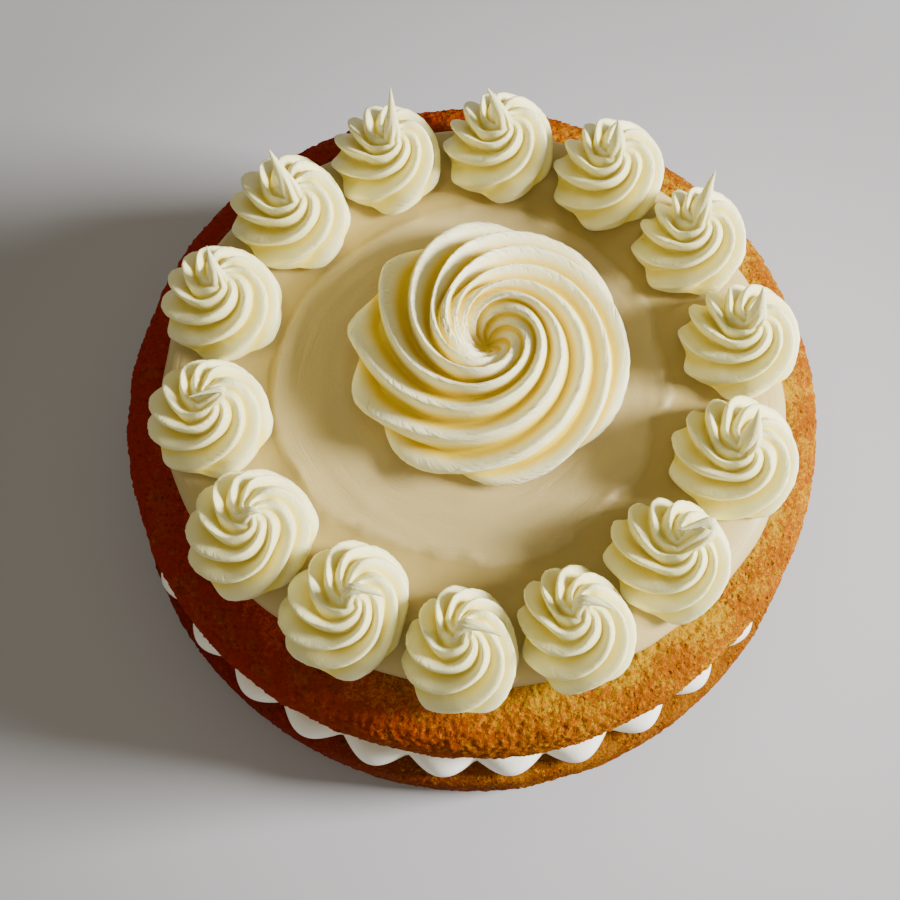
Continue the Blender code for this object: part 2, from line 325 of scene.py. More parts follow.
def ring_noise(turn, height, grain, seed):
    """Smooth noise round the cake, with a pattern of its own for each seed."""
    return round_noise(turn, grain, height * CRAG_RISE + seed * NOISE_STEP)


def crag(turn, height, seed):
    """Coarse and fine unevenness of a baked side."""
    return sum(strength * ring_noise(turn, height, grain, seed + order)
               for order, (grain, strength) in enumerate(CRAG_GRAINS))


def read_outline(outline, share):
    """The outline's values at a share of its length, on a smooth curve through its points."""
    last = len(outline) - 1
    step = min(int(share * last), last - 1)
    along = share * last - step
    before = outline[max(step - 1, 0)]
    start = outline[step]
    end = outline[step + 1]
    after = outline[min(step + 2, last)]
    values = []
    for a, b, c, d in zip(before, start, end, after):
        bend = 2 * a - 5 * b + 4 * c - d
        twist = 3 * b - 3 * c + d - a
        values.append(b + 0.5 * ((c - a) * along + bend * along ** 2 + twist * along ** 3))
    return values


def outline_normal(outline, share, radius, height):
    """The outward direction of a turned outline at a share of its length."""
    near = read_outline(outline, max(share - OUTLINE_STEP, 0.0))
    far = read_outline(outline, min(share + OUTLINE_STEP, 1.0))
    out = (far[1] - near[1]) * height
    up = (near[0] - far[0]) * radius
    length = math.hypot(out, up)
    return out / length, up / length


def turned_profile(rows):
    """Rings on a smooth line through rows of (radius, height, mask, steps to the next row).
    Each ring is (radius, height, outward, upward, mask)."""
    spots = [Vector((row[0], row[1])) for row in rows]
    headings = []
    for order in range(len(spots)):
        before = spots[max(order - 1, 0)]
        after = spots[min(order + 1, len(spots) - 1)]
        into = (spots[order] - before).normalized()
        away = (after - spots[order]).normalized()
        headings.append((into + away).normalized())
    rings = []
    for order in range(len(rows) - 1):
        start, end = spots[order], spots[order + 1]
        length = (end - start).length
        steps = rows[order][3]
        for step in range(steps + (order == len(rows) - 2)):
            share = step / steps
            square, cube = share ** 2, share ** 3
            spot = (start * (2 * cube - 3 * square + 1) + end * (3 * square - 2 * cube)
                    + headings[order] * length * (cube - 2 * square + share)
                    + headings[order + 1] * length * (cube - square))
            flow = headings[order].lerp(headings[order + 1], share).normalized()
            mask = between(rows[order][2], rows[order + 1][2], share)
            rings.append((spot.x, spot.y, flow.y, -flow.x, mask))
    return rings


# Sponges and creams that are turned round the cake's axis

FACING_DOWN = -0.5
FACING_UP = 0.2

# Rows of (radius, height, how far it is baked, steps to the next row). The filling's radius
# counts from its valleys
LOWER_ROWS = (
    (0.0, 0.0, 1.0, 1), (115.6, 0.0, 1.0, 2), (117.1, 0.3, 1.0, 6), (118.8, 2.5, 1.0, 16),
    (119.8, 14.0, 1.0, 14), (120.2, 25.0, 0.8, 6), (119.4, 28.6, 0.5, 4),
    (117.5, LOWER_TOP, 0.3, 3), (112.0, LOWER_TOP, 0.0, 1), (0.0, LOWER_TOP, 0.0, 0),
)
LOWER_CRAG = 0.5
LOWER_AROUND = 560

UPPER_ROWS = (
    (0.0, FILLING_TOP + GAP, 1.0, 1), (104.0, FILLING_TOP + GAP, 1.0, 3), (109.5, 43.4, 1.0, 8),
    (111.6, 46.3, 1.0, 14), (113.4, 56.3, 1.0, 15), (115.0, 66.8, 1.0, 8), (114.2, 71.7, 1.0, 8),
    (111.0, 75.4, 1.0, 8), (SHOULDER_RADIUS, SHOULDER_TOP, 0.65, 11), (99.0, 79.55, 0.05, 3),
    (FLAT_RADIUS, SPONGE_TOP, 0.0, 1), (0.0, SPONGE_TOP, 0.0, 0),
)
UPPER_CRAG = 0.8
UPPER_AROUND = 1040

FILLING_ROWS = (
    (0.0, LOWER_TOP + GAP, 0.0, 1), (-2.9, LOWER_TOP + GAP, 0.0, 3), (-0.2, 33.1, 0.0, 6),
    (0.4, 36.5, 0.0, 6), (-0.5, 40.2, 0.0, 5), (-3.9, FILLING_TOP, 0.0, 1),
    (0.0, FILLING_TOP, 0.0, 0),
)
FILLING_AROUND = 558


# Crumb: grains for each millimetre, their roughness, growth and layers, and their height on the
# crust and where the crumb is open; then pits for each millimetre, their reach and their depth
CRUMB_GRAINS = 0.50
CRUMB_FRACTAL = (0.75, 2.2, 4)
CRUST_GRAIN, OPEN_GRAIN = 0.62, 0.45
FINE_PITS, FINE_REACH, FINE_DEPTH = 0.55, 0.50, 1.4
WIDE_PITS, WIDE_REACH, WIDE_DEPTH = 0.33, 0.46, 2.4
WIDE_PIT_SHIFT = Vector((7.0, 3.0, 1.0))
PIT_DEPTH = 0.8
PIT_MASK = 1.6

# Distance in from the widest point where crumb and crag set in, and over which they come to full
CRUMB_SETS_IN, CRUMB_FULL = 22.0, 6.0
CRAG_SETS_IN, CRAG_FULL = 12.0, 8.0
UNDERSIDE_CRUMB = 0.2


def pit_reach(spot, reach):
    """How far a spot lies inside the nearest pit."""
    return max(0.0, reach - noise.voronoi(spot)[0][0])


def crumb_height(spot, open_share):
    """Height of the crumb at a spot, and how deep in a pit it lies: grains on the baked crust,
    wide pits where the crumb is open."""
    grain = noise.fractal(spot * CRUMB_GRAINS, *CRUMB_FRACTAL)
    fine_pit = pit_reach(spot * FINE_PITS, FINE_REACH)
    wide_pit = pit_reach(spot * WIDE_PITS + WIDE_PIT_SHIFT, WIDE_REACH)
    pit = between(fine_pit * FINE_DEPTH, wide_pit * WIDE_DEPTH, open_share)
    height = grain * between(CRUST_GRAIN, OPEN_GRAIN, open_share) - pit * PIT_DEPTH
    return height, min(pit * PIT_MASK, 1.0)


def baked_side(name, rows, around, seed, strength, finish):
    """A baked sponge: the same unevenness as its solid, with its crumb in relief."""
    rings = turned_profile(rows)
    widest = max(row[0] for row in rows)

    def place(turn, step):
        radius, height, outward, upward, bake = rings[step]
        if radius <= 0.0:
            return 0.0, 0.0, height, bake, 0.0
        side = eased((radius - widest + CRUMB_SETS_IN) / CRUMB_FULL)
        crag_share = eased((radius - widest + CRAG_SETS_IN) / CRAG_FULL)
        radius += crag_share * strength * crag(turn, height, seed)
        spot = Vector((radius * math.cos(turn), radius * math.sin(turn), height))
        relief, pit = crumb_height(spot, 1.0 - bake)
        relief *= side * (1.0 if upward > FACING_DOWN else UNDERSIDE_CRUMB)
        radius += relief * outward
        height = max(height + relief * upward, rows[0][1])
        return radius * math.cos(turn), radius * math.sin(turn), height, bake, pit
    return rolled(name, around, len(rings) - 1, ("bake", "pit"), place, finish)


def lobed_filling(finish):
    """Rounded lobes side by side, a little smaller on the right."""
    rings = turned_profile([(LOBE_VALLEY + row[0] if row[0] else 0.0, *row[1:])
                            for row in FILLING_ROWS])
    low, high = FILLING_ROWS[0][1], FILLING_ROWS[-1][1]

    def place(turn, step):
        radius, height = rings[step][:2]
        if radius <= 0.0:
            return 0.0, 0.0, height, 0.0
        wave = LOBES * (turn - FIRST_LOBE)
        lobe = abs(math.cos(wave / 2)) ** LOBE_FULLNESS
        uneven = LOBE_UNEVEN * ring_noise(turn, 0.0, LOBE_GRAIN, LOBE_SEED)
        radius += uneven + LOBE_DEPTH * lobe - LOBE_RIGHT * max(math.cos(turn), 0.0)
        height = min(max(height, low), high)
        # The valley mask gives the gaps between the lobes painted shade
        return radius * math.cos(turn), radius * math.sin(turn), height, 1.0 - lobe
    return rolled("cream_filling", FILLING_AROUND, len(rings) - 1, ("valley",), place, finish)


def shoulder_height(radius):
    """Height of the upper sponge's straight shoulder at a radius."""
    share = (radius - FLAT_RADIUS) / (SHOULDER_RADIUS - FLAT_RADIUS)
    return between(SPONGE_TOP, SHOULDER_TOP, share)


def disc_radius(turn):
    """Radius of the raised disc's edge, through the points of DISC_EDGE, with a ragged rim."""
    degrees = math.degrees(turn) % 360.0
    points = DISC_EDGE + ((360, DISC_EDGE[0][1]),)
    for (low, first), (high, second) in zip(points, points[1:]):
        if low <= degrees <= high:
            radius = between(first, second, eased((degrees - low) / (high - low)))
    return radius + sum(strength * ring_noise(turn, 0.0, grain, DISC_SEED + order)
                        for order, (grain, strength) in enumerate(DISC_GRAINS))


TOP_AROUND = 380
TOP_DISC_RINGS = 34
TOP_BAND_RINGS = 18


def spread_top(finish):
    """The spread cream: draped edge, band, and the disc with the marks of the spatula."""
    turns = {}

    def rings_at(turn):
        edge = CREAM_EDGE + CREAM_REACH * math.cos(2 * (turn - CREAM_REACH_TURN))
        for order, grain in enumerate(CREAM_GRAINS):
            edge += CREAM_WAVE * ring_noise(turn, 0.0, grain, CREAM_SEED + order)
        edge -= DRAWN_IN_DEPTH * hump(math.remainder(turn - DRAWN_IN, math.tau), DRAWN_IN_SPAN)
        step = disc_radius(turn)
        resting = shoulder_height(edge) + GAP
        # The mask of 1 at the step's foot gives the corner under the disc's edge painted shade
        rows = (
            (0.0, SPONGE_TOP + GAP, 0.0, 1), (FLAT_RADIUS, SPONGE_TOP + GAP, 0.0, 2),
            (edge - UNDER_IN, shoulder_height(edge - UNDER_IN) + GAP, 0.0, 3),
            (edge, resting + WIDEST_UP, 0.0, 5),
            (edge - BULGE_IN, between(resting, CREAM_BAND, BULGE_SHARE), 0.0, 5),
            (edge - BAND_IN, CREAM_BAND, 0.0, TOP_BAND_RINGS),
            (step + STEP_FOOT, CREAM_BAND, 1.0, 6),
            (step - STEP_HEAD, CREAM_DISC + STEP_RIM, 0.0, 8),
            (step - STEP_FLAT, CREAM_DISC, 0.0, TOP_DISC_RINGS), (0.0, CREAM_DISC, 0.0, 0),
        )
        return turned_profile(rows), step

    def place(turn, ring):
        if turn not in turns:
            turns[turn] = rings_at(turn)
        rings, step = turns[turn]
        radius, height, outward, upward, mask = rings[ring]
        if radius <= 0.0:
            return 0.0, 0.0, height, 0.0
        x, y = radius * math.cos(turn), radius * math.sin(turn)
        if upward > FACING_UP:
            arcs = round_noise(turn, ARC_GRAIN, radius * ARC_RISE)
            swell = noise.noise(Vector((x * TOP_SWELL_GRAIN, y * TOP_SWELL_GRAIN,
                                        TOP_SWELL_SEED)))
            fade = eased((CREAM_EDGE - radius) / TOP_FADE) if radius > step else 1.0
            height += (ARC_HEIGHT * arcs + TOP_SWELL_HEIGHT * swell) * fade
            ragged = max(0.0, ring_noise(turn, 0.0, LIP_GRAIN, LIP_SEED))
            lip = LIP_HEIGHTS[0] + LIP_HEIGHTS[1] * ragged
            height += lip * hump(radius - step + STEP_HEAD, LIP_WIDTH)
        return x, y, height, mask
    count = len(rings_at(0.0)[0])
    return rolled("cream_top", TOP_AROUND, count - 1, ("valley",), place, finish)


# Piped swirls

def flute(turn, round_share):
    """1 on a ridge and 0 in a valley: an even wave, or broad round ridges with narrow valleys,
    leaning over towards the ridge that lies further in."""
    wave = FLUTES * turn
    wave += LEAN * math.cos(wave)
    even = 0.5 + 0.5 * math.cos(wave)
    return between(even, abs(math.cos(wave / 2)), round_share)


def ridge_swell(turn, seed):
    """Each ridge's own fullness, from about -1 to 1."""
    ridge = round(FLUTES * turn / math.tau) % FLUTES
    spot = Vector((ridge * RIDGES_APART + SWELL_SPOT[0], seed * SEEDS_APART + SWELL_SPOT[1],
                   SWELL_SPOT[2]))
    return noise.noise(spot) * SWELL_GAIN


def squeezed(number, x, y):
    """Carries a point back from the upright planes half way to the two neighbouring swirls."""
    for step in (-1, 1):
        own = math.radians(SWIRLS[number][0])
        other = math.radians(SWIRLS[(number + step) % len(SWIRLS)][0])
        apart = math.remainder(other - own, math.tau)
        plane = own + apart / 2
        side = math.copysign(1.0, apart)
        across = Vector((-math.sin(plane), math.cos(plane))) * side
        room = -across.dot((x, y)) - GAP / 2
        if room < SQUEEZE:
            kept = SQUEEZE * math.exp((room - SQUEEZE) / SQUEEZE)
            x -= (kept - room) * across.x
            y -= (kept - room) * across.y
    return x, y


def contact_shares(number):
    """For each neighbour: its direction, and the share of its radius that the swirl gives up."""
    turn_round, distance, diameter = SWIRLS[number][:3]
    own = math.radians(turn_round)
    spot = Vector((math.cos(own), math.sin(own))) * distance
    shares = []
    for step in (-1, 1):
        other = SWIRLS[(number + step) % len(SWIRLS)]
        turn = math.radians(other[0])
        away = Vector((math.cos(turn), math.sin(turn))) * other[1] - spot
        room = away.length * diameter / (diameter + other[2])
        given = max(0.0, 1.0 - (room - GAP) / (diameter / 2 * CONTACT_FULLNESS))
        shares.append((math.atan2(away.y, away.x), given))
    return shares


def peak_frame(share, foot, tip, bend):
    """Middle and two cross directions of a ring of the peak, on a bent line to its tip."""
    foot = Vector((*foot, SWIRL_OUTLINE[-1][1] * SWIRL_HEIGHT))
    tip, bend = Vector(tip), Vector(bend)
    middle = foot * (1 - share) ** 2 + bend * (2 * share * (1 - share)) + tip * share ** 2
    flow = ((bend - foot) * (1 - share) + (tip - bend) * share).normalized()
    flow = Vector((0, 0, 1)).lerp(flow, eased(share / PEAK_TILT)).normalized()
    tilt = Vector((0, 0, 1)).rotation_difference(flow)
    return middle, tilt @ Vector((1, 0, 0)), tilt @ Vector((0, 1, 0))


def crown(heading, wide):
    """Height that the crown adds at a share of the radius, or takes away in its dip."""
    side = (0.5 + 0.5 * math.cos(heading - CROWN_SIDE)) ** CROWN_SHARPNESS
    lift, lift_place, lift_width = CROWN_LIFT
    dip, dip_place, dip_width = CROWN_DIP
    return side * (lift * hump(wide - lift_place, lift_width)
                   - dip * hump(wide - dip_place, dip_width))


def small_swirl(number, finish):
    """A swirl that narrows to a peak, squeezed where it meets its neighbours."""
    turn_round, distance, diameter, foot, tip, bend, thickness = SWIRLS[number]
    middle = (distance * math.cos(math.radians(turn_round)),
              distance * math.sin(math.radians(turn_round)), SWIRL_BASE)
    radius = diameter / 2
    first = FIRST_RIDGE + SWIRL_STEP * number
    body_steps = SWIRL_ALONG - SWIRL_PEAK_STEPS - 1
    top_turn = math.radians(SWIRL_OUTLINE[-1][2])
    top_width = SWIRL_OUTLINE[-1][0]
    contacts = contact_shares(number)
    grooves = PEAK_GROOVES if tip[2] < FOLDED_BELOW and thickness < BROAD_TIP else 0.0
    rings = []
    for step in range(body_steps + 1):
        share = step / body_steps
        wide, high, ridge = read_outline(SWIRL_OUTLINE, share)
        normal = outline_normal(SWIRL_OUTLINE, share, radius, SWIRL_HEIGHT)
        depth = SWIRL_DEPTH * min(1.0, wide / SWIRL_FULL_DEPTH) ** SWIRL_DEPTH_FADE
        depth *= between(SWIRL_FOOT_DEPTH, 1.0,
                         eased((share - SWIRL_FOOT_START) / SWIRL_FOOT_LENGTH))
        spread = SWIRL_SPREAD * (1.0 - eased(share / SPREAD_END))
        lag = SWIRL_LAG * eased((share - SWIRL_LAG_START) / SWIRL_LAG_LENGTH)
        shift = min(max((1.0 - wide) / (1.0 - top_width), 0.0), 1.0)
        if share <= SHIFT_START:
            shift = 0.0
        rings.append((wide, high * SWIRL_HEIGHT, math.radians(ridge) + first, normal, depth,
                      spread, lag, shift * foot[0], shift * foot[1]))

    def ridge_heading(turn, ridge, spread, lag):
        heading = turn + ridge
        heading += spread * math.sin(heading - SPREAD_SIDE)
        wobble = SWIRL_WOBBLE * round_noise(turn, WOBBLE_GRAIN, number * WOBBLE_SEED)
        return heading + lag * math.cos(heading - LAG_SIDE) + wobble

    def ridge_crest(turn, heading):
        return flute(turn, SWIRL_ROUND + SWIRL_ROUND_OPEN * math.cos(heading - OPEN_SIDE))

    def body_point(turn, step):
        wide, lift, ridge, normal, depth, spread, lag, shift_x, shift_y = rings[step]
        heading = ridge_heading(turn, ridge, spread, lag)
        crest = ridge_crest(turn, heading)
        crowding = SWIRL_CROWDING * lag * math.sin(heading - LAG_SIDE)
        cut = depth * (1.0 - crest) * (1.0 - OPEN_SIDE_DEPTH * math.cos(heading - OPEN_SIDE))
        cut *= 1.0 - crowding
        cut -= SWIRL_SWELL * crest * ridge_swell(turn, number) * min(1.0, depth / SWIRL_DEPTH)
        grain = round_noise(turn, SWIRL_GRAIN, step * SWIRL_GRAIN_RISE + number * SWIRL_GRAIN_SEED)
        cut -= (SWIRL_GRAIN_HEIGHTS[0] + SWIRL_GRAIN_HEIGHTS[1] * crest) * grain
        lift += crown(heading, wide)
        for direction, given in contacts:
            wide *= 1.0 - given * hump(math.remainder(heading - direction, math.tau),
                                       CONTACT_WIDTH)
        out = wide * radius - normal[0] * cut
        x = middle[0] + shift_x + out * math.cos(heading)
        y = middle[1] + shift_y + out * math.sin(heading)
        x, y = squeezed(number, x, y)
        lift = max(lift - normal[1] * cut, 0.0) if step else 0.0
        return x, y, middle[2] + lift, 1.0 - crest

    def peak_point(turn, step):
        share = step / SWIRL_PEAK_STEPS
        centre, side, fore = peak_frame(share, foot, tip, bend)
        fade = between(grooves * (1.0 - share), 1.0, 1.0 - eased(share / PEAK_SMOOTH))
        heading = ridge_heading(turn, first + top_turn + PEAK_TURN * share, 0.0, SWIRL_LAG * fade)
        crest = ridge_crest(turn, heading)
        taper = between(math.sqrt(1.0 - share), 1.0 - share, PEAK_STRAIGHT)
        wide = between(top_width * radius, thickness * taper, eased(share / PEAK_NECK))
        wide *= 1.0 - PEAK_FADE * (1.0 - crest) * fade
        offset = side * (wide * math.cos(heading)) + fore * (wide * math.sin(heading))
        spot = centre + offset
        return (middle[0] + spot.x, middle[1] + spot.y, middle[2] + spot.z,
                (1.0 - crest) * fade)

    def place(turn, step):
        if step == 0:
            return middle[0], middle[1], middle[2], 0.0
        if step <= body_steps + 1:
            return body_point(turn, step - 1)
        return peak_point(turn, step - body_steps - 1)
    name = "small_swirl_%02d" % (number + 1)
    return rolled(name, SWIRL_AROUND, SWIRL_ALONG, ("valley",), place, finish)


def large_swirl(finish):
    """A wide swirl whose ridges run in over the crest and down into the hollow."""
    rings = []
    for step in range(CENTRE_ALONG):
        share = step / (CENTRE_ALONG - 1)
        wide, high, ridge = read_outline(CENTRE_OUTLINE, share)
        normal = outline_normal(CENTRE_OUTLINE, share, CENTRE_RADIUS, CENTRE_HEIGHT)
        depth = CENTRE_DEPTH * min(1.0, wide / CENTRE_FULL_DEPTH)
        depth *= between(CENTRE_FOOT_DEPTH, 1.0, eased(share / CENTRE_FOOT_LENGTH))
        spread = CENTRE_SPREAD * max(0.0, 1.0 - 2.0 * share)
        lag = CENTRE_LAG * eased((share - CENTRE_LAG_START) / CENTRE_LAG_LENGTH)
        lag *= eased((CENTRE_LAG_END - share) / CENTRE_LAG_FADE)
        rings.append((wide * CENTRE_RADIUS, high * CENTRE_HEIGHT, math.radians(ridge), normal,
                      depth, spread, lag, wide))

    def place(turn, step):
        if step == 0:
            return CENTRE_PLACE[0], CENTRE_PLACE[1], CENTRE_BASE, 0.0
        wide, lift, ridge, normal, depth, spread, lag, width_share = rings[step - 1]
        heading = turn + ridge + FIRST_RIDGE
        heading += spread * math.sin(heading - OPEN_SIDE)
        heading += lag * math.cos(heading - LAG_SIDE)
        heading += CENTRE_WOBBLE * round_noise(turn, CENTRE_WOBBLE_GRAIN, CENTRE_WOBBLE_SEED)
        crest = flute(turn, CENTRE_ROUND + CENTRE_ROUND_OPEN * math.cos(heading - OPEN_SIDE))
        smear = hump(math.remainder(heading - SMEAR_SIDE, math.tau), SMEAR_SPAN)
        smear *= hump(width_share - SMEAR_PLACE, SMEAR_WIDTH)
        cut = depth * (1.0 - crest) * (1.0 - OPEN_SIDE_DEPTH * math.cos(heading - OPEN_SIDE))
        cut *= 1.0 - SMEAR_FILL * smear
        swell = crest * ridge_swell(turn, CENTRE_SWELL_SEED) * min(1.0, depth / CENTRE_DEPTH)
        cut -= CENTRE_SWELL * swell
        even, on_ridge, smeared = CENTRE_GRAIN_HEIGHTS
        grain = round_noise(turn, CENTRE_GRAIN, step * CENTRE_GRAIN_RISE)
        cut -= (even + on_ridge * crest + smeared * smear) * grain
        out = wide - normal[0] * cut
        rise = 0.0 if step == 1 else max(lift - normal[1] * cut, LOWEST_LIFT)
        return (CENTRE_PLACE[0] + out * math.cos(heading),
                CENTRE_PLACE[1] + out * math.sin(heading), CENTRE_BASE + rise,
                between(HOLLOW_MASK, 1.0 - crest, eased(width_share / HOLLOW_REACH)))
    return rolled("large_swirl", CENTRE_AROUND, CENTRE_ALONG, ("valley",), place, finish)


# Finishes

def new_group(name, inputs, outputs):
    """A node group with named inputs (name, kind, value) and outputs (name, kind)."""
    group = bpy.data.node_groups.new(name, "ShaderNodeTree")
    for label, kind, value in inputs:
        socket = group.interface.new_socket(name=label, in_out="INPUT", socket_type=kind)
        socket.default_value = value
    for label, kind in outputs:
        group.interface.new_socket(name=label, in_out="OUTPUT", socket_type=kind)
    return group


def add(tree, kind, values=None, **settings):
    """A node with its settings, and values for its inputs by name or number."""
    node = tree.nodes.new(kind)
    for name, value in settings.items():
        setattr(node, name, value)
    for name, value in (values or {}).items():
        node.inputs[name].default_value = value
    return node


def join(tree, source, output, target, socket):
    tree.links.new(source.outputs[output], target.inputs[socket])


def mixed(tree, share, first, second, kind="MIX"):
    """A colour mix; each of the three is (node, output) or a plain value."""
    node = add(tree, "ShaderNodeMix", data_type="RGBA", blend_type=kind)
    for socket, source in ((0, share), (6, first), (7, second)):
        if isinstance(source, tuple) and isinstance(source[0], bpy.types.Node):
            tree.links.new(source[0].outputs[source[1]], node.inputs[socket])
        else:
            node.inputs[socket].default_value = source
    return node, 2


def maths(tree, kind, first, second=0.0):
    """A sum on two values; each is (node, output) or a number."""
    node = add(tree, "ShaderNodeMath", operation=kind)
    for socket, source in enumerate((first, second)):
        if isinstance(source, tuple):
            tree.links.new(source[0].outputs[source[1]], node.inputs[socket])
        else:
            node.inputs[socket].default_value = source
    return node, 0


def ranged(tree, source, low, high, new_low=0.0, new_high=1.0):
    node = add(tree, "ShaderNodeMapRange", {1: low, 2: high, 3: new_low, 4: new_high},
               interpolation_type="SMOOTHSTEP")
    tree.links.new(source[0].outputs[source[1]], node.inputs[0])
    return node, 0


# Cream's ranges: (from, to) on what is read, and (low, high) for what comes of it
CREAM_SHADE = (0.3, 0.9)
CREAM_MOTTLE = (0.3, 0.7, 0.0, 0.10)
CREAM_ROUGHNESS = (0.3, 0.7, 0.40, 0.52)
CREAM_GRAIN_HEIGHT = 0.18
MARK_EDGE = (0.48, 0.72)
MARK_CREST = (0.45, 0.0)
MARK_PATCHES = (0.35, 0.65, 0.25, 1.0)


def cream_group():
    """Whipped cream: ivory on its ridges and warm yellow in its valleys, a painted shade and
    bounced light in the creases, with fine grain and the stretch marks that cross a piped ridge."""
    group = new_group(
        "cream_surface",
        (("Ridge Colour", "NodeSocketColor", (0.9, 0.85, 0.7, 1.0)),
         ("Valley Colour", "NodeSocketColor", (0.85, 0.6, 0.2, 1.0)),
         ("Marks Around", "NodeSocketFloat", 14.0),
         ("Marks Along", "NodeSocketFloat", 90.0),
         ("Marks", "NodeSocketFloat", 0.5)),
        (("Colour", "NodeSocketColor"), ("Height", "NodeSocketFloat"),
         ("Roughness", "NodeSocketFloat")))
    given = group.nodes.new("NodeGroupInput")
    result = group.nodes.new("NodeGroupOutput")
    valley = add(group, "ShaderNodeAttribute", attribute_name="valley")
    place = add(group, "ShaderNodeTexCoord")
    flow = add(group, "ShaderNodeUVMap", uv_map="flow")
    # Painted shade: the deeper in a valley, the more the colour goes to the warm valley colour
    shade = ranged(group, (valley, "Fac"), *CREAM_SHADE)
    colour = mixed(group, shade, (given, "Ridge Colour"), (given, "Valley Colour"))
    mottle = add(group, "ShaderNodeTexNoise", {"Scale": 90.0, "Detail": 3.0})
    join(group, place, "Object", mottle, "Vector")
    tone = ranged(group, (mottle, 0), *CREAM_MOTTLE)
    colour = mixed(group, tone, colour, (given, "Valley Colour"))
    join(group, colour[0], 2, result, "Colour")
    grain = add(group, "ShaderNodeTexNoise", {"Scale": 1400.0, "Detail": 3.0})
    join(group, place, "Object", grain, "Vector")
    stretch = add(group, "ShaderNodeCombineXYZ", {2: 0.0})
    parts = add(group, "ShaderNodeSeparateXYZ")
    join(group, flow, "UV", parts, 0)
    across = maths(group, "MULTIPLY", (parts, 0), (given, "Marks Around"))
    along = maths(group, "MULTIPLY", (parts, 1), (given, "Marks Along"))
    join(group, across[0], 0, stretch, 0)
    join(group, along[0], 0, stretch, 1)
    marks = add(group, "ShaderNodeTexNoise", {"Scale": 1.0, "Detail": 2.0, "Roughness": 0.6})
    join(group, stretch, 0, marks, "Vector")
    torn = ranged(group, (marks, 0), *MARK_EDGE)
    crest = ranged(group, (valley, "Fac"), *MARK_CREST)
    patches = add(group, "ShaderNodeTexNoise", {"Scale": 55.0, "Detail": 1.0})
    join(group, place, "Object", patches, "Vector")
    where = maths(group, "MULTIPLY", crest, ranged(group, (patches, 0), *MARK_PATCHES))
    torn = maths(group, "MULTIPLY", torn, where)
    torn = maths(group, "MULTIPLY", torn, (given, "Marks"))
    height = maths(group, "SUBTRACT",
                   maths(group, "MULTIPLY", (grain, 0), CREAM_GRAIN_HEIGHT), torn)
    join(group, height[0], 0, result, "Height")
    rough = ranged(group, (grain, 0), *CREAM_ROUGHNESS)
    join(group, rough[0], 0, result, "Roughness")
    return group


# Painted shade across the cake: which way its lit half faces, how the painted shade on the far
# half pushes the crumb towards crust, the colour of the pale crumb specks that are also painted
# glints on the lit half, and the red that the painted shade multiplies into the crust on the
# darker half
LIT_SIDE = (0.95, -0.12, 0.0)
PAINTED_SIDE_SHADE = (-0.08, 0.12, 0.5, -0.3)
LIGHT_CRUMB_AND_GLINT = (0.66, 0.39, 0.006, 1.0)
SHADE_RED_CRUST = (1.2, 0.24, 0.2, 1.0)
SHADE_RED_GAIN = 2.2

# Crumb's ranges, as the cream's
CLUMP_SHARE, GRAIN_SHARE = 0.6, 0.4
PATCH_BAKE = (0.3, 0.7, -0.45, 0.45)
CLUMP_BAKE = (0.36, 0.64, -0.6, 0.6)
CRUST_EDGE = (0.05, 0.7)
SHADE_RED_PATCHES = (0.46, 0.62, 0.0, 0.35)
GLINT = (0.53, 0.66, 0.0, 0.55)
LOW_EDGE = (0.52, 0.36)
HOLE_EDGE = (0.34, 0.14)
HOLE_PATCHES = (0.42, 0.58)
CRUMB_ROUGHNESS = (0.2, 0.8, 0.62, 0.95)

# Painted shade: how dark the crumb's pits, holes and low places are made, and the red crust on the
# side away from the light, and how deep its holes
PIT_SHADE, HOLE_SHADE, LOW_SHADE, SHADE_RED_DARK = 0.32, 0.35, 0.6, 0.12
HOLE_DEPTH = 0.35


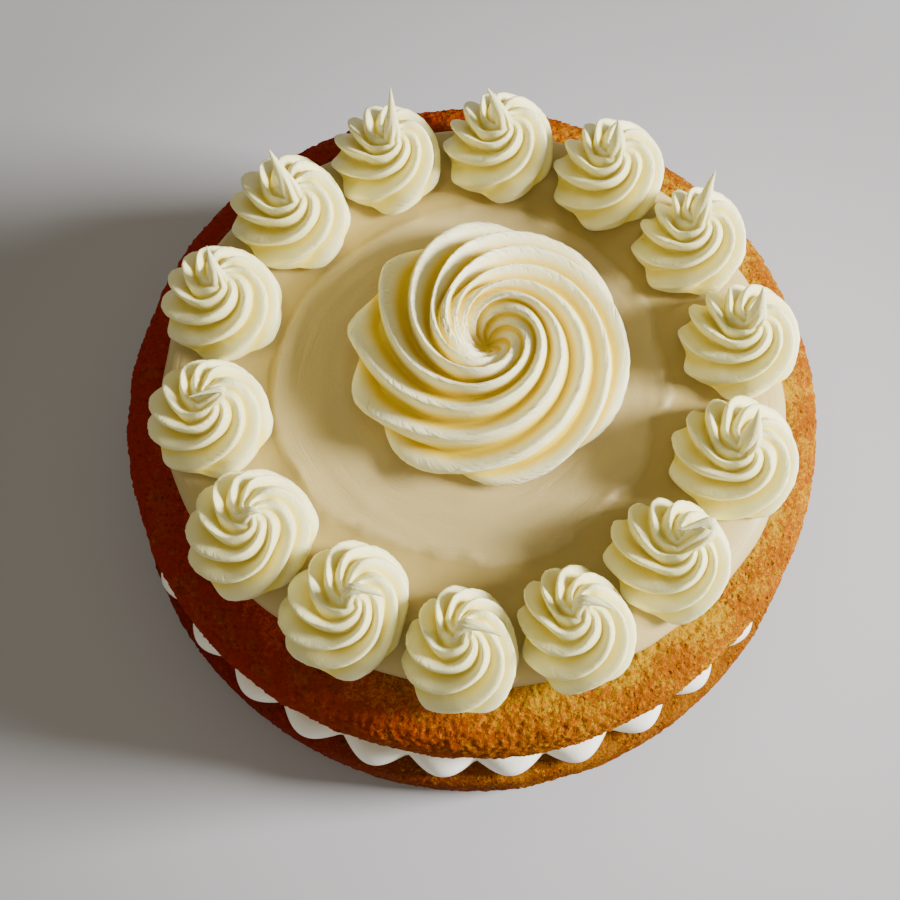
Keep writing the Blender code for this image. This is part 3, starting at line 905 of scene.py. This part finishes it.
def crumb_group():
    """Baked crumb: from open pale crumb to brown crust by the bake mask, with painted shade in its
    pits, holes and low places, painted glints of pale crumb on the lit side, and painted shade on
    the side away from the light that turns it to a deeper, redder crust."""
    group = new_group(
        "crumb_surface",
        (("Open Colour", "NodeSocketColor", (0.8, 0.5, 0.15, 1.0)),
         ("Crust Colour", "NodeSocketColor", (0.5, 0.2, 0.04, 1.0)),
         ("Painted Shade Colour", "NodeSocketColor", (0.2, 0.05, 0.01, 1.0)),
         ("Grain Scale", "NodeSocketFloat", 700.0)),
        (("Colour", "NodeSocketColor"), ("Height", "NodeSocketFloat"),
         ("Roughness", "NodeSocketFloat")))
    given = group.nodes.new("NodeGroupInput")
    result = group.nodes.new("NodeGroupOutput")
    bake = add(group, "ShaderNodeAttribute", attribute_name="bake")
    pit = add(group, "ShaderNodeAttribute", attribute_name="pit")
    place = add(group, "ShaderNodeTexCoord")
    patches = add(group, "ShaderNodeTexNoise", {"Scale": 75.0, "Detail": 5.0, "Roughness": 0.65})
    clumps = add(group, "ShaderNodeTexNoise", {"Scale": 520.0, "Detail": 4.0, "Roughness": 0.7})
    grain = add(group, "ShaderNodeTexNoise", {"Detail": 3.0, "Roughness": 0.8})
    holes = add(group, "ShaderNodeTexVoronoi", {"Scale": 430.0})
    side = add(group, "ShaderNodeVectorMath", {1: LIT_SIDE}, operation="DOT_PRODUCT")
    for node in (patches, clumps, grain, holes):
        join(group, place, "Object", node, "Vector")
    join(group, place, "Object", side, 0)
    join(group, given, "Grain Scale", grain, "Scale")
    # Painted shade: the side away from the light is pushed towards crust
    shaded = ranged(group, (side, 1), *PAINTED_SIDE_SHADE)
    level = maths(group, "ADD", maths(group, "MULTIPLY", (clumps, 0), CLUMP_SHARE),
                  maths(group, "MULTIPLY", (grain, 0), GRAIN_SHARE))
    low = ranged(group, level, *LOW_EDGE)
    hole = maths(group, "MULTIPLY", ranged(group, (holes, 0), *HOLE_EDGE),
                 ranged(group, (patches, 0), *HOLE_PATCHES))
    baked = maths(group, "ADD", (bake, "Fac"), ranged(group, (patches, 0), *PATCH_BAKE))
    baked = maths(group, "ADD", baked, shaded)
    baked = maths(group, "ADD", baked, ranged(group, (clumps, 0), *CLUMP_BAKE))
    colour = mixed(group, ranged(group, baked, *CRUST_EDGE),
                   (given, "Open Colour"), (given, "Crust Colour"))
    # Painted shade: the crust on the side away from the light is multiplied deeper red, less so in
    # patches
    shade_red = maths(group, "SUBTRACT", maths(group, "MULTIPLY", shaded, SHADE_RED_GAIN),
                ranged(group, (patches, 0), *SHADE_RED_PATCHES))
    shade_red = maths(group, "MAXIMUM", shade_red, 0.0)
    colour = mixed(group, shade_red, colour, SHADE_RED_CRUST, "MULTIPLY")
    # Painted glints: high crumb goes towards a pale colour on the lit side only, partly pale crumb
    # and partly painted highlight
    glint = maths(group, "MULTIPLY", ranged(group, level, *GLINT),
                  maths(group, "SUBTRACT", 1.0, shade_red))
    colour = mixed(group, glint, colour, LIGHT_CRUMB_AND_GLINT)
    # Painted shade: pits, holes, low places and the shaded side are mixed towards the shade colour
    painted_shade = maths(group, "MAXIMUM", maths(group, "MULTIPLY", (pit, "Fac"), PIT_SHADE),
                 maths(group, "MULTIPLY", hole, HOLE_SHADE))
    painted_shade = maths(group, "MAXIMUM", painted_shade, maths(group, "MULTIPLY", low, LOW_SHADE))
    painted_shade = maths(group, "ADD", painted_shade, maths(group, "MULTIPLY", shade_red, SHADE_RED_DARK))
    painted_shade = maths(group, "MINIMUM", painted_shade, 1.0)
    colour = mixed(group, painted_shade, colour, (given, "Painted Shade Colour"))
    join(group, colour[0], 2, result, "Colour")
    height = maths(group, "SUBTRACT", level, maths(group, "MULTIPLY", hole, HOLE_DEPTH))
    join(group, height[0], 0, result, "Height")
    rough = ranged(group, (clumps, 0), *CRUMB_ROUGHNESS)
    join(group, rough[0], 0, result, "Roughness")
    return group


def finish_from(name, group, values, bump, depth):
    """A material whose colour, roughness and relief come from a group."""
    finish = bpy.data.materials.new(name)
    finish.use_nodes = True
    tree = finish.node_tree
    shader = tree.nodes["Principled BSDF"]
    surface = add(tree, "ShaderNodeGroup", node_tree=group)
    for label, value in values.items():
        surface.inputs[label].default_value = value
    relief = add(tree, "ShaderNodeBump", {"Strength": bump, "Distance": depth})
    join(tree, surface, "Colour", shader, "Base Color")
    join(tree, surface, "Roughness", shader, "Roughness")
    join(tree, surface, "Height", relief, "Height")
    join(tree, relief, "Normal", shader, "Normal")
    return finish, shader


def cream_finish(name, group, ridge, valley, around, along, marks):
    """Whipped cream that light soaks into."""
    finish, shader = finish_from(
        name, group,
        {"Ridge Colour": (*ridge, 1.0), "Valley Colour": (*valley, 1.0),
         "Marks Around": around, "Marks Along": along, "Marks": marks}, bump=0.8, depth=0.0006)
    shader.subsurface_method = "RANDOM_WALK"
    shader.inputs["Subsurface Weight"].default_value = 0.35
    shader.inputs["Subsurface Radius"].default_value = (1.0, 0.90, 0.36)
    shader.inputs["Subsurface Scale"].default_value = 0.0016
    shader.inputs["Specular IOR Level"].default_value = 0.35
    return finish


def crumb_finish(name, group, open_crumb, crust, painted_shade, grain):
    """Matte baked sponge."""
    finish, shader = finish_from(
        name, group,
        {"Open Colour": (*open_crumb, 1.0), "Crust Colour": (*crust, 1.0),
         "Painted Shade Colour": (*painted_shade, 1.0), "Grain Scale": grain}, bump=1.0, depth=0.0016)
    shader.inputs["Specular IOR Level"].default_value = 0.05
    return finish


# Floor: half its side, and how far out its lighter near colour, a painted pool of light round the
# cake, gives way to its darker far colour, in metres
FLOOR_HALF = 3.0
FLOOR_FADE = (0.12, 0.26)
FLOOR_LIT_NEAR = (0.44, 0.44, 0.475, 1.0)
FLOOR_DIM_FAR = (0.335, 0.335, 0.36, 1.0)

# Camera and lights, in metres, degrees and watts: name, place, size, power and colour of a light
LENS = 53.66
SENSOR = 36.0
CAMERA_PLACE = (0.0, -0.16302, 0.48943)
CAMERA_TURN = (19.3479, 0.2009, 2.0376)
LAMPS = (
    ("window", (1.35, 0.0, 0.72), (0.42, 0.40), 82.0, (1.0, 0.98, 0.94)),
    ("room", (-0.3, -0.9, 1.1), (1.4, 1.4), 1.5, (1.0, 0.92, 0.80)),
)
LAMPS_AIM = (0.0, 0.0, 0.05)
ROOM_COLOUR = (1.0, 0.91, 0.70, 1.0)
ROOM_STRENGTH = 0.34


def plain_floor():
    """A wide pale floor with painted light: a little darker far from the cake."""
    form = bmesh.new()
    bmesh.ops.create_grid(form, x_segments=1, y_segments=1, size=FLOOR_HALF)
    mesh = bpy.data.meshes.new("floor")
    form.to_mesh(mesh)
    form.free()
    finish = bpy.data.materials.new("floor_paint")
    finish.use_nodes = True
    tree = finish.node_tree
    shader = tree.nodes["Principled BSDF"]
    place = add(tree, "ShaderNodeTexCoord")
    reach = add(tree, "ShaderNodeVectorMath", operation="LENGTH")
    join(tree, place, "Object", reach, 0)
    colour = mixed(tree, ranged(tree, (reach, 1), *FLOOR_FADE), FLOOR_LIT_NEAR, FLOOR_DIM_FAR)
    join(tree, colour[0], 2, shader, "Base Color")
    shader.inputs["Roughness"].default_value = 0.6
    mesh.materials.append(finish)
    floor = bpy.data.objects.new("floor", mesh)
    bpy.context.scene.collection.objects.link(floor)


def view_and_light():
    """The photograph's view from above the front, and a wide window's light from the right."""
    lens = bpy.data.cameras.new("camera")
    lens.lens = LENS
    lens.sensor_width = SENSOR
    lens.clip_start = 0.01
    camera = bpy.data.objects.new("camera", lens)
    camera.location = CAMERA_PLACE
    camera.rotation_euler = Euler([math.radians(angle) for angle in CAMERA_TURN])
    bpy.context.scene.collection.objects.link(camera)
    bpy.context.scene.camera = camera
    for name, place, size, power, colour in LAMPS:
        lamp = bpy.data.lights.new(name, "AREA")
        lamp.shape = "RECTANGLE"
        lamp.size, lamp.size_y = size
        lamp.energy = power
        lamp.color = colour
        light = bpy.data.objects.new(name, lamp)
        light.location = place
        towards = Vector(LAMPS_AIM) - Vector(place)
        light.rotation_euler = towards.to_track_quat("-Z", "Y").to_euler()
        bpy.context.scene.collection.objects.link(light)
    world = bpy.data.worlds.new("room_light")
    world.use_nodes = True
    glow = world.node_tree.nodes["Background"]
    glow.inputs["Color"].default_value = ROOM_COLOUR
    glow.inputs["Strength"].default_value = ROOM_STRENGTH
    bpy.context.scene.world = world


def cake():
    cream = cream_group()
    crumb = crumb_group()
    # Each cream's second colour is the painted shade and bounced light of its valleys
    piped = cream_finish("piped_cream", cream, (0.93, 0.89, 0.50), (0.86, 0.74, 0.16),
                         around=40.0, along=60.0, marks=0.5)
    large = cream_finish("large_piped_cream", cream, (0.96, 0.92, 0.60), (0.82, 0.62, 0.03),
                         around=45.0, along=110.0, marks=1.0)
    spread = cream_finish("spread_cream", cream, (0.54, 0.43, 0.19), (0.46, 0.35, 0.12),
                          around=10.0, along=70.0, marks=0.2)
    lobes = cream_finish("filling_cream", cream, (0.95, 0.94, 0.84), (0.90, 0.85, 0.66),
                         around=30.0, along=12.0, marks=0.1)
    # The third colour of each crumb is the painted shade of its pits, holes, low places and shaded
    # side
    golden = crumb_finish("upper_crumb", crumb, (0.47, 0.255, 0.002), (0.28, 0.074, 0.0005),
                          (0.10, 0.012, 0.001), grain=900.0)
    brown = crumb_finish("lower_crumb", crumb, (0.27, 0.10, 0.002), (0.17, 0.037, 0.0005),
                         (0.07, 0.008, 0.001), grain=900.0)
    stands_for(baked_side("brown_sponge", LOWER_ROWS, LOWER_AROUND, LOWER_SEED, LOWER_CRAG, brown),
               "lower_sponge")
    stands_for(lobed_filling(lobes), "filling")
    stands_for(baked_side("golden_sponge", UPPER_ROWS, UPPER_AROUND, UPPER_SEED, UPPER_CRAG,
                          golden), "upper_sponge")
    stands_for(spread_top(spread), "top_cream")
    for number in range(len(SWIRLS)):
        node = "rosette_%02d" % (number + 1)
        stands_for(small_swirl(number, piped), node)
    stands_for(large_swirl(large), "centre_rosette")


view_and_light()
plain_floor()
cake()
